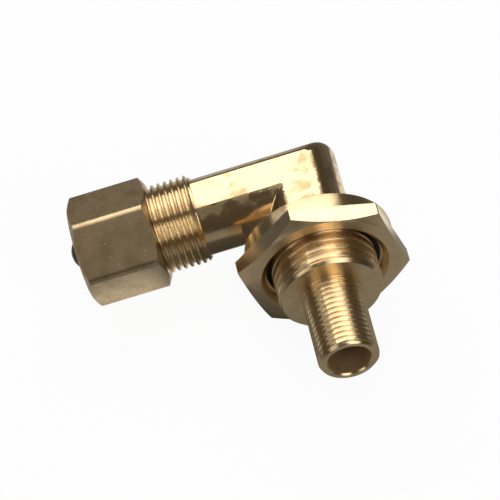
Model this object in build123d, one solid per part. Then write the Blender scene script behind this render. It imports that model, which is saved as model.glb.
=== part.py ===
# Bulkhead elbow fitting in brass: a forged elbow with a threaded nipple for a panel on one arm,
# and a compression joint for a tube on the other.
# The origin is the centre of the panel seat, on the nipple's axis. The nipple points along -Y,
# the tube arm along -X, and +Z is square to the two flat sides of the elbow.
import os
from math import acos, degrees, radians, sin, sqrt, tan

from build123d import *

# Elbow, in millimetres
SEAT_TO_CENTRE = 14.3
ARM_DIAMETER = 12.4
ARM_FLAT_DEPTH = 0.55
OUTER_CORNER_ROUND = 2.0
INNER_CORNER_FILLET = 0.5
COLLAR_DIAMETER = 23.4
COLLAR_THICKNESS = 3.0
COLLAR_EDGE = 0.3
RELIEF_DEPTH = 0.55
RELIEF_TO_ARM = 0.4
RELIEF_INSIDE_COLLAR = 0.75

# Threaded stem through the panel, and the nipple beyond it
STEM_DIAMETER = 16.5
STEM_LENGTH = 7.7
STEM_CHAMFER = 0.25
NIPPLE_DIAMETER = 9.5
NIPPLE_LENGTH = 12.8
NIPPLE_CHAMFER = 0.5
NIPPLE_BORE = 6.7
BORE_CHAMFER = 0.25

# Tube arm: threaded stub with a socket for the tube and a cone for the sleeve
TUBE_DIAMETER = 9.525
TUBE_CLEARANCE = 0.1
STUB_START = 16.8
STUB_DIAMETER = 14.288
STUB_LENGTH = 12.0
STUB_CHAMFER = 0.6
SOCKET_DEPTH = 8.0
CONE_MOUTH = 12.0
TUBE_PASSAGE = 7.5
DRILL_POINT_ANGLE = 118.0

# Lock nut that clamps the panel against the collar
LOCK_NUT_ACROSS_FLATS = 23.8125
LOCK_NUT_THICKNESS = 3.0
LOCK_NUT_CORNER_ROUND = 0.3
LOCK_NUT_CHAMFER_ANGLE = 25.0
LOCK_NUT_CHAMFER_INSET = 0.1
LOCK_NUT_THREAD_LENGTH = 1.2
LOCK_NUT_COUNTERBORE = 18.6
LOCK_NUT_MOUTH = 20.2
LOCK_NUT_CORNER_ANGLE = -20.0

# Compression nut and the sleeve that it presses on the tube
NUT_ACROSS_FLATS = 15.875
NUT_LENGTH = 12.7
NUT_CORNER_ROUND = 1.3
NUT_CHAMFER_ANGLE = 30.0
NUT_CHAMFER_INSET = 0.25
NUT_CORNER_ANGLE = 79.0
NUT_ENGAGEMENT = 4.83
NUT_THREAD_DEPTH = 7.4
NUT_MOUTH_CHAMFER = 0.4
THREAD_CLEARANCE = 0.06
SLEEVE_LENGTH = 6.4
SLEEVE_DIAMETER = 11.2
SLEEVE_NOSE = 10.6
SLEEVE_BORE_CHAMFER = 0.2
SLEEVE_CLEARANCE = 0.05

# Closing plug pushed into the tube hole
PLUG_DIAMETER = 9.3
PLUG_LENGTH = 7.5
PLUG_EDGE = 0.5
PLUG_INSET = 0.7
PLUG_DOME_RADIUS = 3.2
PLUG_STAND = 1.55

# Axes: stations run from the elbow's centre along the tube arm, and from the seat along the stem
TUBE_AXIS = Plane(origin=(0, SEAT_TO_CENTRE, 0), x_dir=(-1, 0, 0), z_dir=(0, 0, 1))
STEM_AXIS = Plane(origin=(0, 0, 0), x_dir=(0, -1, 0), z_dir=(0, 0, 1))
MITRE = Plane(origin=(0, SEAT_TO_CENTRE, 0), z_dir=(1, -1, 0))

# Stations that more than one piece shares
STUB_END = STUB_START + STUB_LENGTH
NUT_START = STUB_END - NUT_ENGAGEMENT
NUT_END = NUT_START + NUT_LENGTH
TUBE_HOLE = TUBE_DIAMETER + 2 * TUBE_CLEARANCE
NIPPLE_END = STEM_LENGTH + NIPPLE_LENGTH
# The cones lie at 45 degrees, so a step in radius is the same step along the axis
SLEEVE_START = STUB_END - (CONE_MOUTH - SLEEVE_NOSE) / 2 + SLEEVE_CLEARANCE
SLEEVE_END = SLEEVE_START + SLEEVE_LENGTH


def turned(axis, *outline):
    """Solid turned about an axis from corners given as station and radius."""
    return axis * revolve(make_face(Polyline(*outline, close=True)), Axis.X)


def drilled(axis, start, end, diameter):
    """Drilled hole from start to end, with the drill's point beyond the end."""
    radius = diameter / 2
    point = radius / tan(radians(DRILL_POINT_ANGLE / 2))
    step = point if end > start else -point
    return turned(axis, (start, 0), (start, radius), (end, radius), (end + step, 0))


def chamfered_hexagon(across_flats, corner_angle, corner_round, length, end_chamfers, angle, inset):
    """Hexagonal nut blank along +Z, its corners turned off to a cone at the ends that are named."""
    half = across_flats / 2
    outline = RegularPolygon(half, 6, major_radius=False, rotation=corner_angle)
    blank = extrude(fillet(outline.vertices(), corner_round), length)
    corner = across_flats / sqrt(3)
    drop = (corner - half + inset) * tan(radians(angle))
    barrel = Pos(0, 0, length / 2) * Cylinder(corner, length)
    for edge in end_chamfers:
        rim = barrel.edges().filter_by(GeomType.CIRCLE).sort_by(Axis.Z)[edge]
        face = barrel.faces().filter_by(GeomType.PLANE).sort_by(Axis.Z)[edge]
        barrel = chamfer(rim, length=corner - half + inset, length2=drop, reference=face)
    return blank & barrel


def arms():
    """The two round arms, mitred at the corner, with the flats forged across both."""
    radius = ARM_DIAMETER / 2
    flat = radius - ARM_FLAT_DEPTH
    tube_far = -ARM_DIAMETER
    tube_arm = turned(TUBE_AXIS, (tube_far, 0), (tube_far, radius), (STUB_START, radius), (STUB_START, 0))
    stem_far = -SEAT_TO_CENTRE - ARM_DIAMETER
    stem_arm = turned(STEM_AXIS, (stem_far, 0), (stem_far, radius), (0, radius), (0, 0))
    pair = split(tube_arm, MITRE, Keep.BOTTOM) + split(stem_arm, MITRE, Keep.TOP)
    pair = split(pair, Plane.XY.offset(flat), Keep.BOTTOM)
    pair = split(pair, Plane.XY.offset(-flat), Keep.TOP)
    outer = pair.edges().filter_by(GeomType.ELLIPSE).sort_by(Axis.X)[-1]
    pair = fillet(outer, OUTER_CORNER_ROUND)
    inner = pair.edges().filter_by(GeomType.ELLIPSE).sort_by(Axis.X)[0]
    return fillet(inner, INNER_CORNER_FILLET)


def turning_relief():
    """Ring that the tool clears behind the collar, where it runs into the front of the tube arm."""
    front = SEAT_TO_CENTRE - ARM_DIAMETER / 2 + RELIEF_DEPTH
    inside = ARM_DIAMETER / 2 + RELIEF_TO_ARM
    outside = COLLAR_DIAMETER / 2 - RELIEF_INSIDE_COLLAR
    return turned(STEM_AXIS, (-front, inside), (-front, outside), (0, outside), (0, inside))


def elbow_body():
    """One forging, turned at both ends and drilled from both."""
    stem = STEM_DIAMETER / 2
    nipple = NIPPLE_DIAMETER / 2
    collar = COLLAR_DIAMETER / 2
    stem_end = turned(
        STEM_AXIS,
        (-COLLAR_THICKNESS, 0),
        (-COLLAR_THICKNESS, collar - COLLAR_EDGE),
        (COLLAR_EDGE - COLLAR_THICKNESS, collar),
        (-COLLAR_EDGE, collar),
        (0, collar - COLLAR_EDGE),
        (0, stem),
        (STEM_LENGTH - STEM_CHAMFER, stem),
        (STEM_LENGTH, stem - STEM_CHAMFER),
        (STEM_LENGTH, nipple),
        (NIPPLE_END - NIPPLE_CHAMFER, nipple),
        (NIPPLE_END, nipple - NIPPLE_CHAMFER),
        (NIPPLE_END, 0),
    )
    stub = STUB_DIAMETER / 2
    tube_end = turned(
        TUBE_AXIS,
        (STUB_START, 0),
        (STUB_START, stub - STUB_CHAMFER),
        (STUB_START + STUB_CHAMFER, stub),
        (STUB_END - STUB_CHAMFER, stub),
        (STUB_END, stub - STUB_CHAMFER),
        (STUB_END, 0),
    )
    mouth = CONE_MOUTH / 2
    hole = TUBE_HOLE / 2
    cone_and_socket = turned(
        TUBE_AXIS,
        (STUB_END, 0),
        (STUB_END, mouth),
        (STUB_END - (mouth - hole), hole),
        (STUB_END - SOCKET_DEPTH, hole),
        (STUB_END - SOCKET_DEPTH, 0),
    )
    bore = NIPPLE_BORE / 2
    bore_mouth = turned(
        STEM_AXIS,
        (NIPPLE_END, 0),
        (NIPPLE_END, bore + BORE_CHAMFER),
        (NIPPLE_END - BORE_CHAMFER, bore),
        (NIPPLE_END - BORE_CHAMFER, 0),
    )
    body = (arms() - turning_relief()) + stem_end + tube_end
    body = body - cone_and_socket - bore_mouth
    body = body - drilled(TUBE_AXIS, STUB_END - SOCKET_DEPTH, 0, TUBE_PASSAGE)
    return body - drilled(STEM_AXIS, NIPPLE_END, -SEAT_TO_CENTRE, NIPPLE_BORE)


def lock_nut():
    """Thin hexagonal nut, chamfered and counterbored on the side away from the panel."""
    seat = Plane(origin=(0, 0, 0), x_dir=(1, 0, 0), z_dir=(0, -1, 0))
    blank = chamfered_hexagon(
        LOCK_NUT_ACROSS_FLATS,
        LOCK_NUT_CORNER_ANGLE,
        LOCK_NUT_CORNER_ROUND,
        LOCK_NUT_THICKNESS,
        [-1],
        LOCK_NUT_CHAMFER_ANGLE,
        LOCK_NUT_CHAMFER_INSET,
    )
    thread = STEM_DIAMETER / 2 + THREAD_CLEARANCE
    counterbore = LOCK_NUT_COUNTERBORE / 2
    mouth = LOCK_NUT_MOUTH / 2
    hole = turned(
        STEM_AXIS,
        (0, 0),
        (0, thread),
        (LOCK_NUT_THREAD_LENGTH, thread),
        (LOCK_NUT_THREAD_LENGTH, counterbore),
        (LOCK_NUT_THICKNESS - (mouth - counterbore), counterbore),
        (LOCK_NUT_THICKNESS, mouth),
        (LOCK_NUT_THICKNESS, 0),
    )
    return seat * blank - hole


def compression_nut():
    """Long hexagonal nut: threaded from the inner end, with a cone and the tube hole at the outer end."""
    inner_end = Plane(origin=(-NUT_START, SEAT_TO_CENTRE, 0), x_dir=(0, -1, 0), z_dir=(-1, 0, 0))
    blank = chamfered_hexagon(
        NUT_ACROSS_FLATS,
        NUT_CORNER_ANGLE,
        NUT_CORNER_ROUND,
        NUT_LENGTH,
        [0, -1],
        NUT_CHAMFER_ANGLE,
        NUT_CHAMFER_INSET,
    )
    thread = STUB_DIAMETER / 2 + THREAD_CLEARANCE
    chamber = CONE_MOUTH / 2
    hole = TUBE_HOLE / 2
    thread_end = NUT_START + NUT_THREAD_DEPTH
    cone_end = SLEEVE_END + SLEEVE_NOSE / 2 + SLEEVE_CLEARANCE - hole
    inside = turned(
        TUBE_AXIS,
        (NUT_START, 0),
        (NUT_START, thread + NUT_MOUTH_CHAMFER),
        (NUT_START + NUT_MOUTH_CHAMFER, thread),
        (thread_end, thread),
        (thread_end, chamber),
        (cone_end - (chamber - hole), chamber),
        (cone_end, hole),
        (NUT_END, hole),
        (NUT_END, 0),
    )
    return inner_end * blank - inside


def compression_sleeve():
    """Plain ring with a cone at each end, one for the stub's mouth and one for the nut."""
    barrel = SLEEVE_DIAMETER / 2
    nose = SLEEVE_NOSE / 2
    hole = TUBE_HOLE / 2
    taper = barrel - nose
    return turned(
        TUBE_AXIS,
        (SLEEVE_START + SLEEVE_BORE_CHAMFER, hole),
        (SLEEVE_START, hole + SLEEVE_BORE_CHAMFER),
        (SLEEVE_START, nose),
        (SLEEVE_START + taper, barrel),
        (SLEEVE_END - taper, barrel),
        (SLEEVE_END, nose),
        (SLEEVE_END, hole + SLEEVE_BORE_CHAMFER),
        (SLEEVE_END - SLEEVE_BORE_CHAMFER, hole),
    )


def tube_plug():
    """Moulded plug with a domed nib that stands out of the nut."""
    radius = PLUG_DIAMETER / 2
    end = NUT_END - PLUG_INSET
    start = end - PLUG_LENGTH
    tip = NUT_END + PLUG_STAND
    dome_centre = tip - PLUG_DOME_RADIUS
    dome_angle = acos((end - dome_centre) / PLUG_DOME_RADIUS)
    sides = Polyline(
        (tip, 0),
        (start, 0),
        (start, radius - PLUG_EDGE),
        (start + PLUG_EDGE, radius),
        (end - PLUG_EDGE, radius),
        (end, radius - PLUG_EDGE),
        (end, PLUG_DOME_RADIUS * sin(dome_angle)),
    )
    dome = CenterArc((dome_centre, 0), PLUG_DOME_RADIUS, 0, degrees(dome_angle))
    return TUBE_AXIS * revolve(make_face(sides + dome), Axis.X)


os.makedirs("parts", exist_ok=True)
export_step(elbow_body(), "parts/elbow_body.step")
export_step(lock_nut(), "parts/lock_nut.step")
export_step(compression_nut(), "parts/compression_nut.step")
export_step(compression_sleeve(), "parts/compression_sleeve.step")
export_step(tube_plug(), "parts/tube_plug.step")
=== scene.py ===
import math

import bmesh
import bpy
from mathutils import Matrix, Vector


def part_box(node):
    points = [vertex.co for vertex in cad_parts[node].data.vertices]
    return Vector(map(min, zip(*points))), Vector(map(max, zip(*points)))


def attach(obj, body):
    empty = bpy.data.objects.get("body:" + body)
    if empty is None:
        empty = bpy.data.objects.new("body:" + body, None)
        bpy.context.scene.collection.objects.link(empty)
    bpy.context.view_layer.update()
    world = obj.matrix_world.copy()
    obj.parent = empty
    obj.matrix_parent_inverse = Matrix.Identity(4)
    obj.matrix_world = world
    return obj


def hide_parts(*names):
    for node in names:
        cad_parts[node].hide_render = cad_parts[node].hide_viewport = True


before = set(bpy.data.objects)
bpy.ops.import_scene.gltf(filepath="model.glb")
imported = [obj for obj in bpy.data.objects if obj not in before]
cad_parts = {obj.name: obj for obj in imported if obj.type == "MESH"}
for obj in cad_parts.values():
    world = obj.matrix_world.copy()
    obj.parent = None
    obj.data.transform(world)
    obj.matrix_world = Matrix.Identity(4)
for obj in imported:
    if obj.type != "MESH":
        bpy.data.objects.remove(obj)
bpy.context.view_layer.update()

# Elbow: one hot forging in brass with two round arms and a flat across each side of the corner.
# It is turned at both ends, where the threads are cut on a lathe, and drilled from both.
# The skin of the forging stays as the die left it, with stains of scale on the flats.
MM = 0.001
seat_to_centre = 14.3 * MM
collar_back = 3.0 * MM
stem_end = 7.7 * MM
stem_radius = 8.25 * MM
stem_chamfer = 0.45 * MM
stem_first_turn = math.radians(19)
nipple_end = 20.5 * MM
nipple_radius = 4.75 * MM
nipple_chamfer = 0.5 * MM
nipple_root = 4.0 * MM
nipple_bore = 3.35 * MM
bore_chamfer = 0.25 * MM
stub_start = 16.8 * MM
stub_end = 28.8 * MM
stub_radius = 7.144 * MM
stub_chamfer = 0.6 * MM
stub_root = 5.0 * MM
cone_mouth = 6.0 * MM
cone_margin = 0.25 * MM
relief_front = 8.65 * MM
relief_inside = 6.6 * MM
edge_break = 0.1 * MM
weld = 0.001 * MM
hair = 0.01 * MM
steps_per_turn = 80
same_plane_angle = math.radians(0.3)
corner_angle = math.radians(35)
flat_edge_angle = math.radians(20)
thread_edge_angle = math.radians(40)
stem_line = (0, 1, 0)
tube_line = (1, 0, 0)
seat_point = (0, 0, 0)
corner_point = (0, seat_to_centre, 0)
forged_brass_colour = (0.82, 0.61, 0.345)
forged_stain_colour = (0.50, 0.365, 0.195)
forged_gloss = (0.14, 0.3)
forged_wave_height = 0.012 * MM
forged_grain_height = 0.001 * MM
turned_brass_colour = (0.86, 0.655, 0.375)
turned_dull_colour = (0.78, 0.58, 0.32)
turned_gloss = (0.27, 0.33)
turned_grain_height = 0.0001 * MM
drilled_brass_colour = (0.72, 0.51, 0.28)
drilled_dull_colour = (0.54, 0.38, 0.20)
drilled_gloss = (0.3, 0.42)


def node(tree, kind, **values):
    """Adds a shader node; a value goes to its setting of that name, or else to its socket."""
    made = tree.nodes.new(kind)
    for key, value in values.items():
        if hasattr(made, key):
            setattr(made, key, value)
        else:
            made.inputs[key.replace("_", " ")].default_value = value
    return made


def vectors(tree, operation, vector, fixed=None):
    """Combines a vector with a fixed one, or measures its length or its distance from it."""
    made = node(tree, "ShaderNodeVectorMath", operation=operation)
    tree.links.new(vector, made.inputs[0])
    if fixed is not None:
        made.inputs[1].default_value = fixed
    return made.outputs["Value" if operation in ("LENGTH", "DISTANCE") else "Vector"]


def faded(tree, value, start, end, low, high):
    """Fades from the low level to the high one as a value goes from start to end."""
    step = node(tree, "ShaderNodeMapRange", interpolation_type="SMOOTHSTEP")
    for socket, setting in (("From Min", start), ("From Max", end), ("To Min", low), ("To Max", high)):
        step.inputs[socket].default_value = setting
    tree.links.new(value, step.inputs["Value"])
    return step.outputs["Result"]


def patches(tree, coords, size, low, high, detail=4.0, distortion=0.0):
    """Irregular patches of about the given size, from 0 outside them to 1 inside."""
    cloud = node(tree, "ShaderNodeTexNoise", Scale=1 / size, Detail=detail, Distortion=distortion)
    tree.links.new(coords, cloud.inputs["Vector"])
    return faded(tree, cloud.outputs["Fac"], low, high, 0.0, 1.0)


def mixed_colour(tree, mask, clean, marked):
    """Goes from the clean colour to the marked one as the mask rises."""
    mix = node(tree, "ShaderNodeMix", data_type="RGBA")
    tree.links.new(mask, mix.inputs["Factor"])
    for socket, colour in (("A", clean), ("B", marked)):
        target = [s for s in mix.inputs if s.name == socket and s.type == "RGBA"][0]
        if isinstance(colour, tuple):
            target.default_value = (*colour, 1.0)
        else:
            tree.links.new(colour, target)
    return [s for s in mix.outputs if s.type == "RGBA"][0]


def ranged(tree, value, low, high):
    """Spreads a value from 0 to 1 over a range."""
    step = node(tree, "ShaderNodeMapRange")
    step.inputs["To Min"].default_value = low
    step.inputs["To Max"].default_value = high
    tree.links.new(value, step.inputs["Value"])
    return step.outputs["Result"]


def metal(name):
    """A metal with its object coordinates, ready for its colour, roughness and relief."""
    made = bpy.data.materials.new(name)
    made.use_nodes = True
    tree = made.node_tree
    shader = tree.nodes["Principled BSDF"]
    shader.inputs["Metallic"].default_value = 1.0
    coords = node(tree, "ShaderNodeTexCoord").outputs["Object"]
    return made, tree, shader, coords


def relief(tree, shader, height, depth, under=None):
    """Raises the surface by a height from 0 to 1, in addition to a relief already made."""
    bump = node(tree, "ShaderNodeBump", Strength=1.0, Distance=depth)
    tree.links.new(height, bump.inputs["Height"])
    if under:
        tree.links.new(under.outputs["Normal"], bump.inputs["Normal"])
    tree.links.new(bump.outputs["Normal"], shader.inputs["Normal"])
    return bump


forged_skin, tree, shader, coords = metal("forged_brass_skin")
stains = patches(tree, coords, size=3.2 * MM, low=0.5, high=0.66, distortion=0.6)
grain = patches(tree, coords, size=0.35 * MM, low=0.2, high=0.8, detail=5.0)
waves = patches(tree, coords, size=1.6 * MM, low=0.2, high=0.8, detail=2.0)
colour = mixed_colour(tree, stains, forged_brass_colour, forged_stain_colour)
tree.links.new(colour, shader.inputs["Base Color"])
tree.links.new(ranged(tree, stains, *forged_gloss), shader.inputs["Roughness"])
soft = relief(tree, shader, waves, forged_wave_height)
relief(tree, shader, grain, forged_grain_height, soft)


def tool_marks(tree, shader, coords, axis, point):
    """Spreads the gloss across the fine rings that a turning tool leaves about an axis."""
    around = vectors(tree, "CROSS_PRODUCT", vectors(tree, "SUBTRACT", coords, point), axis)
    tangent = node(
        tree, "ShaderNodeVectorTransform", vector_type="VECTOR", convert_from="OBJECT", convert_to="WORLD"
    )
    tree.links.new(around, tangent.inputs["Vector"])
    tree.links.new(tangent.outputs["Vector"], shader.inputs["Tangent"])
    shader.inputs["Anisotropic"].default_value = 0.95
    shader.inputs["Anisotropic Rotation"].default_value = 0.25


def turned_metal(name, axis, point, bright, dull):
    """Brass turned about an axis, with bright and dull zones and the tool's fine rings."""
    made, tree, shader, coords = metal(name)
    dulled = patches(tree, coords, size=2.4 * MM, low=0.4, high=0.75)
    grain = patches(tree, coords, size=0.15 * MM, low=0.2, high=0.8)
    tree.links.new(mixed_colour(tree, dulled, bright, dull), shader.inputs["Base Color"])
    relief(tree, shader, grain, turned_grain_height)
    tool_marks(tree, shader, coords, axis, point)
    return made, tree, shader, coords, dulled


turned_finishes = []
for name, axis, point in (
    ("turned_brass_stem", stem_line, seat_point), ("turned_brass_stub", tube_line, corner_point),
):
    made, tree, shader, coords, dulled = turned_metal(
        name, axis, point, turned_brass_colour, turned_dull_colour
    )
    tree.links.new(ranged(tree, dulled, *turned_gloss), shader.inputs["Roughness"])
    turned_finishes.append(made)

drilled_brass, tree, shader, coords = metal("drilled_brass")
dulled = patches(tree, coords, size=1.5 * MM, low=0.4, high=0.75)
colour = mixed_colour(tree, dulled, drilled_brass_colour, drilled_dull_colour)
tree.links.new(colour, shader.inputs["Base Color"])
tree.links.new(ranged(tree, dulled, *drilled_gloss), shader.inputs["Roughness"])
shader.inputs["Metallic"].default_value = 0.75
skin_finish, stem_finish, stub_finish, drilled_finish = range(4)


def smooth_faces(mesh, angle):
    """Shades faces smooth, and leaves edges sharper than the angle sharp."""
    for face in mesh.faces:
        face.smooth = True
    for edge in mesh.edges:
        edge.smooth = edge.calc_face_angle(0) < angle


def cut_thread(axis, start, end, radius, pitch, depth, land, root, chamfers, rims, finish):
    """Screw thread along an axis: one pitch of its outline, spun with a rise of a pitch per turn.

    The ends are cut square, turned down to their chamfers, and carried on along the given rims,
    each a radius and a step along the axis from that end.
    """
    flank = (pitch - land - root) / 2
    blunt = 0.3 * depth
    slope = flank / depth
    top = root + flank
    outline = (
        (radius - depth, 0),
        (radius - depth, root),
        (radius - blunt, top - blunt * slope),
        (radius - 0.3 * blunt, top - 0.1 * blunt),
        (radius, top + 0.5 * blunt),
        (radius, top + land - 0.5 * blunt),
        (radius - 0.3 * blunt, top + land + 0.1 * blunt),
        (radius - blunt, top + land + blunt * slope),
        (radius - depth, pitch),
    )
    thread = bmesh.new()
    corners = [thread.verts.new((r, 0, start - pitch + z)) for r, z in outline]
    sides = [thread.edges.new(pair) for pair in zip(corners, corners[1:])]
    turns = math.ceil((end - start) / pitch) + 2
    bmesh.ops.spin(
        thread, geom=corners + sides, cent=(0, 0, 0), axis=(0, 0, 1), dvec=(0, 0, pitch / steps_per_turn),
        angle=2 * math.pi * turns, steps=steps_per_turn * turns, use_merge=False,
    )
    bmesh.ops.remove_doubles(thread, verts=thread.verts[:], dist=weld)
    for station, outwards in ((start, -1), (end, 1)):
        bmesh.ops.bisect_plane(
            thread, geom=thread.verts[:] + thread.edges[:] + thread.faces[:], dist=0.1 * weld,
            plane_co=(0, 0, station), plane_no=(0, 0, outwards), clear_outer=True,
        )
    for vert in thread.verts:
        drop = max(0, chamfers[0] - (vert.co.z - start), chamfers[1] - (end - vert.co.z))
        reach = vert.co.xy.length
        vert.co.xy *= min(1, (radius - drop) / reach)
    for station, rim in ((start, rims[0]), (end, rims[1])):
        loop = [
            e for e in thread.edges
            if e.is_boundary and all(abs(v.co.z - station) < weld for v in e.verts)
        ]
        for reach, step in rim:
            grown = bmesh.ops.extrude_edge_only(thread, edges=loop)["geom"]
            loop = [g for g in grown if isinstance(g, bmesh.types.BMEdge)]
            for vert in (g for g in grown if isinstance(g, bmesh.types.BMVert)):
                vert.co.xy *= reach / vert.co.xy.length
                vert.co.z = station + step
    bmesh.ops.recalc_face_normals(thread, faces=thread.faces[:])
    crest = max(thread.faces, key=lambda f: f.calc_center_median().xy.length)
    if crest.normal.xy.dot(crest.calc_center_median().xy) < 0:
        bmesh.ops.reverse_faces(thread, faces=thread.faces[:])
    for face in thread.faces:
        face.material_index = finish
    smooth_faces(thread, thread_edge_angle)
    thread.transform(axis)
    made = bpy.data.meshes.new("thread")
    thread.to_mesh(made)
    thread.free()
    return made


def finished(mesh, name, *materials):
    """Makes an object of a finished mesh."""
    data = bpy.data.meshes.new(name)
    mesh.to_mesh(data)
    mesh.free()
    if "custom_normal" in data.attributes:
        data.attributes.remove(data.attributes["custom_normal"])
    for material in materials:
        data.materials.append(material)
    made = bpy.data.objects.new(name, data)
    bpy.context.scene.collection.objects.link(made)
    return made


elbow = bmesh.new()
elbow.from_mesh(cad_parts["elbow_body"].data)
bmesh.ops.remove_doubles(elbow, verts=elbow.verts[:], dist=weld)
plain_ends = []
for face in elbow.faces:
    centre = face.calc_center_median()
    from_stem = math.hypot(centre.x, centre.z)
    from_tube = math.hypot(centre.y - seat_to_centre, centre.z)
    on_stem = centre.y < -hair and from_stem > nipple_bore + hair
    on_stub = centre.x < hair - stub_start and from_tube > cone_mouth - cone_margin
    if on_stem or on_stub:
        plain_ends.append(face)
bmesh.ops.delete(elbow, geom=plain_ends, context="FACES")
bmesh.ops.dissolve_limit(
    elbow, angle_limit=same_plane_angle, verts=elbow.verts[:], edges=elbow.edges[:], delimit=set()
)
corners = [e for e in elbow.edges if not e.is_boundary and e.calc_face_angle(0) > corner_angle]
bmesh.ops.bevel(
    elbow, geom=corners, offset=edge_break, offset_type="OFFSET", segments=2, profile=0.5,
    affect="EDGES", clamp_overlap=True, material=-1,
)
for face in elbow.faces:
    centre = face.calc_center_median()
    from_stem = math.hypot(centre.x, centre.z)
    from_tube = math.hypot(centre.y - seat_to_centre, centre.z)
    on_collar = centre.y < collar_back + edge_break
    before_relief = centre.y < relief_front + edge_break
    on_relief = before_relief and from_stem > relief_inside - edge_break and centre.x < 0
    in_bore = from_stem < nipple_bore + 2 * hair and centre.y < seat_to_centre
    in_socket = centre.x < -nipple_bore and from_tube < cone_mouth
    if in_bore or in_socket and not on_relief:
        face.material_index = drilled_finish
    elif on_collar or on_relief:
        face.material_index = stem_finish
    else:
        face.material_index = skin_finish
smooth_faces(elbow, flat_edge_angle)
stem_axis = Matrix.Rotation(math.radians(90), 4, "X")
tube_axis = Matrix.Translation(corner_point) @ Matrix.Rotation(math.radians(-90), 4, "Y")
cut_ends = (
    cut_thread(
        stem_axis @ Matrix.Rotation(stem_first_turn, 4, "Z"), start=0, end=stem_end, radius=stem_radius,
        pitch=1.65 * MM, depth=0.3 * MM, land=1.18 * MM, root=0.15 * MM, chamfers=(0, stem_chamfer),
        rims=(((stem_radius + hair, 0),), ((nipple_root, 0),)), finish=stem_finish,
    ),
    cut_thread(
        stem_axis, start=stem_end, end=nipple_end, radius=nipple_radius,
        pitch=0.941 * MM, depth=0.22 * MM, land=0.64 * MM, root=0.05 * MM, chamfers=(0, nipple_chamfer),
        rims=((), ((nipple_bore + bore_chamfer, 0), (nipple_bore, -bore_chamfer))), finish=stem_finish,
    ),
    cut_thread(
        tube_axis, start=stub_start, end=stub_end, radius=stub_radius,
        pitch=1.0583 * MM, depth=0.54 * MM, land=0.26 * MM, root=0.28 * MM,
        chamfers=(stub_chamfer, stub_chamfer),
        rims=(((stub_root, 0),), ((cone_mouth, 0),)), finish=stub_finish,
    ),
)
for thread in cut_ends:
    elbow.from_mesh(thread)
    bpy.data.meshes.remove(thread)
elbow_piece = finished(elbow, "threaded_elbow", forged_skin, *turned_finishes, drilled_brass)
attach(elbow_piece, "elbow")
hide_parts("elbow_body")

# Lock nut: a thin hexagonal nut in brass bar, faced, chamfered and counterbored on a lathe.
# It screws along the stem and clamps the panel against the collar.
# The lower part of its recess is coloured dark: painted shade for the shadow in the gap round the stem.
lock_nut_colour = (0.91, 0.69, 0.41)
lock_nut_dull_colour = (0.84, 0.62, 0.36)
lock_nut_shade_colour = (0.03, 0.02, 0.012)
recess_shade_full, recess_shade_edge = 8.9 * MM, 9.25 * MM
recess_shade_level, recess_shade_top = 4 * MM, 7 * MM
flat_roughness, face_roughness = 0.16, 0.27
flat_margin, face_margin = 0.3 * MM, 0.1 * MM
lock_nut_front, lock_nut_back = (corner.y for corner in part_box("lock_nut"))
lock_nut_middle = (lock_nut_front + lock_nut_back) / 2
lock_nut_half = (lock_nut_back - lock_nut_front) / 2


def arithmetic(tree, operation, first, second):
    """Reckons with two values, either of which may be a plain number."""
    made = node(tree, "ShaderNodeMath", operation=operation)
    for socket, value in zip(made.inputs, (first, second)):
        if isinstance(value, (int, float)):
            socket.default_value = value
        else:
            tree.links.new(value, socket)
    return made.outputs["Value"]


def dress(name, material):
    """Gives a node of the frame its finish."""
    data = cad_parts[name].data
    data.materials.clear()
    data.materials.append(material)


lock_nut_brass, tree, shader, coords, _ = turned_metal(
    "lock_nut_brass", stem_line, seat_point, lock_nut_colour, lock_nut_dull_colour
)
place = node(tree, "ShaderNodeSeparateXYZ")
tree.links.new(coords, place.inputs["Vector"])
from_axis = vectors(tree, "LENGTH", vectors(tree, "MULTIPLY", coords, (1, 0, 1)))
# Painted shade: a dark colour low in the recess, next to the stem, for the shadow in the gap.
recess_shade = arithmetic(
    tree, "MULTIPLY", faded(tree, from_axis, recess_shade_full, recess_shade_edge, 1.0, 0.0),
    faded(tree, place.outputs["Z"], recess_shade_level, recess_shade_top, 1.0, 0.0),
)
clean = shader.inputs["Base Color"].links[0].from_socket
tree.links.new(mixed_colour(tree, recess_shade, clean, lock_nut_shade_colour), shader.inputs["Base Color"])
along = arithmetic(tree, "SUBTRACT", place.outputs["Y"], lock_nut_middle)
from_middle = arithmetic(tree, "ABSOLUTE", along, 0.0)
faced = faded(
    tree, from_middle, lock_nut_half - flat_margin, lock_nut_half - face_margin,
    flat_roughness, face_roughness,
)
tree.links.new(faced, shader.inputs["Roughness"])
dress("lock_nut", lock_nut_brass)

# Compression sleeve: a plain turned ring in soft brass with a cone at each end.
# The nut presses it on the tube, so it stays bright inside the joint.
sleeve_colour = (0.84, 0.64, 0.345)
sleeve_dull_colour = (0.74, 0.55, 0.29)
sleeve_gloss = (0.18, 0.28)
sleeve_brass, tree, shader, coords = metal("sleeve_brass")
dulled = patches(tree, coords, size=1.8 * MM, low=0.4, high=0.7)
colour = mixed_colour(tree, dulled, sleeve_colour, sleeve_dull_colour)
tree.links.new(colour, shader.inputs["Base Color"])
tree.links.new(ranged(tree, dulled, *sleeve_gloss), shader.inputs["Roughness"])
dress("compression_sleeve", sleeve_brass)

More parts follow.
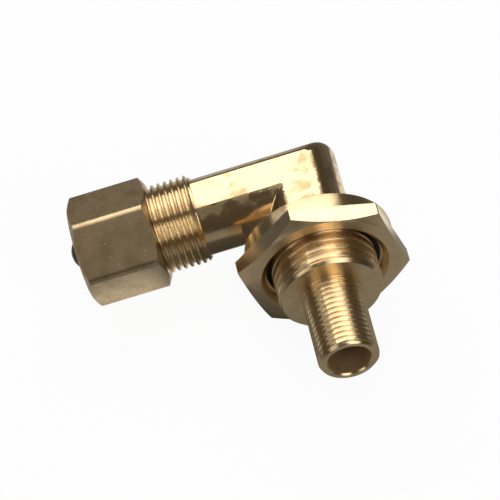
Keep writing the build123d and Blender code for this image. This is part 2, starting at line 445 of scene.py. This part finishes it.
# Compression nut: cut from drawn hexagonal brass bar, its corners turned off at both ends.
# The flats keep the dull skin of the bar, with a fine grain and a few bright nicks.
nut_colour = (0.66, 0.50, 0.29)
nut_stain_colour = (0.50, 0.365, 0.205)
nut_grain_colour = (0.30, 0.215, 0.115)
nut_nick_colour = (0.86, 0.72, 0.48)
nut_gloss = (0.27, 0.33)
nut_grain_share = 0.5
nut_grain_height = 0.0004 * MM
nut_brass, tree, shader, coords = metal("compression_nut_brass")
stains = patches(tree, coords, size=2.6 * MM, low=0.4, high=0.7)
grain = patches(tree, coords, size=0.22 * MM, low=0.25, high=0.75, detail=3.0)
nicks = patches(tree, coords, size=0.55 * MM, low=0.71, high=0.75, detail=1.0)
colour = mixed_colour(tree, stains, nut_colour, nut_stain_colour)
colour = mixed_colour(tree, ranged(tree, grain, 0.0, nut_grain_share), colour, nut_grain_colour)
colour = mixed_colour(tree, nicks, colour, nut_nick_colour)
tree.links.new(colour, shader.inputs["Base Color"])
tree.links.new(ranged(tree, grain, *nut_gloss), shader.inputs["Roughness"])
relief(tree, shader, grain, nut_grain_height)
dress("compression_nut", nut_brass)

# Tube plug: moulded in black rubber with a domed nib, and pushed into the tube hole of the nut.
# It keeps dirt out of the joint until a tube is fitted.
plug_colour = (0.018, 0.013, 0.009)
plug_bloom_colour = (0.036, 0.027, 0.019)
plug_gloss_tint = (1.0, 0.86, 0.72)
plug_gloss = (0.3, 0.42)
plug_rubber, tree, shader, coords = metal("plug_rubber")
shader.inputs["Metallic"].default_value = 0.0
shader.inputs["Specular IOR Level"].default_value = 0.3
shader.inputs["Specular Tint"].default_value = (*plug_gloss_tint, 1.0)
bloom = patches(tree, coords, size=1.2 * MM, low=0.4, high=0.7)
colour = mixed_colour(tree, bloom, plug_colour, plug_bloom_colour)
tree.links.new(colour, shader.inputs["Base Color"])
tree.links.new(ranged(tree, bloom, *plug_gloss), shader.inputs["Roughness"])
dress("tube_plug", plug_rubber)

# Floor: a round white sheet with a raised rim, under the fitting, which lies on the lock nut's
# lowest corner; the sheet slopes so that the pulled-out plug just clears it.
# For mirror rays it glows at a painted level: bright close behind the fitting, dim far off, and dim in
# front and in the corner, a painted shadow of the fitting.
floor_colour = (0.9, 0.9, 0.9)
floor_white_share = 0.945
floor_radius = 1.5
floor_gap = 0.05 * MM
rim_height = 0.25
bright_centre = Vector((6, 10, 0)) * MM
bright_stretch = (0.65, 1, 0)
corner_shadow = Vector((-14, 0, -11)) * MM
front_level, rear_level, far_level, corner_level = 0.22, 0.85, 0.12, 0.2
open_rear_level = 0.5
rear_only = (-10, 0, -10)
arm_shade_edge = (-23 * MM, -18 * MM)
arm_shade_shift = -11 * MM
front_edge = (0, 5 * MM)
near_edge = (27 * MM, 37 * MM)
open_side_edge = (-4 * MM, 6 * MM)
open_rear_edge = (80 * MM, 150 * MM)
corner_edge = (10 * MM, 16 * MM)
white_edge = (70 * MM, 180 * MM)
plug_pull = 50 * MM
lock_corner_x = 2.4 * MM
lock_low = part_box("lock_nut")[0]
plug_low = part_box("tube_plug")[0]
slope = math.atan2(plug_low.z - lock_low.z, lock_corner_x - plug_low.x + plug_pull)
sheet = bmesh.new()
bmesh.ops.create_circle(sheet, cap_ends=True, segments=96, radius=floor_radius)
rim = bmesh.ops.extrude_edge_only(sheet, edges=sheet.edges[:])["geom"]
rim = [g for g in rim if isinstance(g, bmesh.types.BMVert)]
bmesh.ops.translate(sheet, verts=rim, vec=(0, 0, rim_height))
bmesh.ops.rotate(sheet, verts=sheet.verts[:], cent=(0, 0, 0), matrix=Matrix.Rotation(slope, 3, "Y"))
bmesh.ops.translate(sheet, verts=sheet.verts[:], vec=(lock_corner_x, 0, lock_low.z - floor_gap))

paper = bpy.data.materials.new("white_floor")
paper.use_nodes = True
tree = paper.node_tree
tree.nodes.clear()
coords = node(tree, "ShaderNodeTexCoord").outputs["Object"]
place = node(tree, "ShaderNodeSeparateXYZ")
tree.links.new(coords, place.inputs["Vector"])
# Painted light and shade for mirror rays: the glow is bright behind the fitting and painted dark in front
# of it and under the tube arm.
rearwards = vectors(tree, "MAXIMUM", vectors(tree, "SUBTRACT", coords, bright_centre), rear_only)
reach = vectors(tree, "LENGTH", vectors(tree, "MULTIPLY", rearwards, bright_stretch))
shaded = faded(tree, place.outputs["X"], *arm_shade_edge, 0.0, arm_shade_shift)
from_front = arithmetic(tree, "ADD", place.outputs["Y"], shaded)
behind = faded(tree, from_front, *front_edge, front_level, rear_level)
nearby = faded(tree, reach, *near_edge, 1.0, far_level)
open_rear = arithmetic(
    tree, "MULTIPLY", faded(tree, place.outputs["X"], *open_side_edge, open_rear_level, 0.0),
    faded(tree, reach, *open_rear_edge, 1.0, 0.0),
)
# Painted shadow of the fitting on the floor, in the corner under the tube arm.
lit = faded(tree, vectors(tree, "DISTANCE", coords, corner_shadow), *corner_edge, corner_level, 1.0)
reflected = arithmetic(tree, "MULTIPLY", behind, arithmetic(tree, "MAXIMUM", nearby, open_rear))
reflected = arithmetic(tree, "MULTIPLY", reflected, lit)
seen = node(tree, "ShaderNodeLightPath").outputs
mirrored = arithmetic(tree, "ADD", seen["Is Glossy Ray"], seen["Is Transmission Ray"])
looked_at = arithmetic(tree, "ADD", seen["Is Camera Ray"], mirrored)
white_share = faded(tree, reach, *white_edge, floor_white_share, 1.0)
matt = node(tree, "ShaderNodeBsdfDiffuse", Color=(*floor_colour, 1.0))
white = node(tree, "ShaderNodeEmission")
level = arithmetic(tree, "MAXIMUM", seen["Is Camera Ray"], reflected)
tree.links.new(level, white.inputs["Strength"])
blend = node(tree, "ShaderNodeMixShader")
surface = node(tree, "ShaderNodeOutputMaterial")
tree.links.new(arithmetic(tree, "MULTIPLY", looked_at, white_share), blend.inputs["Fac"])
tree.links.new(matt.outputs["BSDF"], blend.inputs[1])
tree.links.new(white.outputs["Emission"], blend.inputs[2])
tree.links.new(blend.outputs["Shader"], surface.inputs["Surface"])
floor = finished(sheet, "floor", paper)

# Light: a large soft box behind and above the fitting, a narrow one beside it, a dim one overhead
# and two in front, all half a metre off.
# The room round them is dim and warm, so that the sides of the brass stay dark.
room_level = 0.07
room_colour = (1.0, 0.86, 0.70)
lamp_distance = 0.5
light_aim = Vector((-10.5, 5.2, 0)) * MM
room = bpy.data.worlds.new("studio")
room.use_nodes = True
background = room.node_tree.nodes["Background"]
background.inputs["Color"].default_value = (*room_colour, 1.0)
background.inputs["Strength"].default_value = room_level
bpy.context.scene.world = room


def soft_box(name, azimuth, elevation, width, height, radiance):
    """Area lamp aimed at the fitting, its angles measured from +Y towards +X and upwards."""
    turn, lift = math.radians(azimuth), math.radians(elevation)
    away = Vector((math.sin(turn) * math.cos(lift), math.cos(turn) * math.cos(lift), math.sin(lift)))
    lamp = bpy.data.lights.new(name, "AREA")
    lamp.shape = "RECTANGLE"
    lamp.size = 2 * lamp_distance * math.tan(math.radians(width / 2))
    lamp.size_y = 2 * lamp_distance * math.tan(math.radians(height / 2))
    lamp.energy = radiance * math.pi * lamp.size * lamp.size_y
    made = bpy.data.objects.new(name, lamp)
    made.location = light_aim + away * lamp_distance
    made.rotation_euler = (-away).to_track_quat("-Z", "Y").to_euler()
    bpy.context.scene.collection.objects.link(made)


soft_box("main_soft_box", azimuth=13, elevation=53, width=60, height=50, radiance=2.05)
soft_box("side_soft_box", azimuth=-42, elevation=41, width=6, height=40, radiance=2.2)
soft_box("overhead_soft_box", azimuth=0, elevation=88, width=50, height=20, radiance=1.1)
soft_box("front_right_soft_box", azimuth=145, elevation=38, width=30, height=44, radiance=2.5)
soft_box("front_left_soft_box", azimuth=-140, elevation=36, width=12, height=44, radiance=2.2)

# Camera: a long lens in front of the fitting, looking down at its middle.
# It is rolled, so that the tube arm slopes down to the left.
camera_place = Vector((16.126, -259.692, 340.624)) * MM
camera_aim = Vector((-10.533, 5.198, 0)) * MM
camera_roll = math.radians(-21.332)
lens = bpy.data.cameras.new("camera")
lens.sensor_width = 36.0
lens.lens = 199.38
lens.clip_start = 0.01
camera = bpy.data.objects.new("camera", lens)
camera.location = camera_place
unrolled = (camera_aim - camera_place).to_track_quat("-Z", "Y").to_matrix().to_4x4()
camera.rotation_euler = (unrolled @ Matrix.Rotation(camera_roll, 4, "Z")).to_euler()
bpy.context.scene.collection.objects.link(camera)
bpy.context.scene.camera = camera
bpy.context.scene.view_settings.view_transform = "Standard"
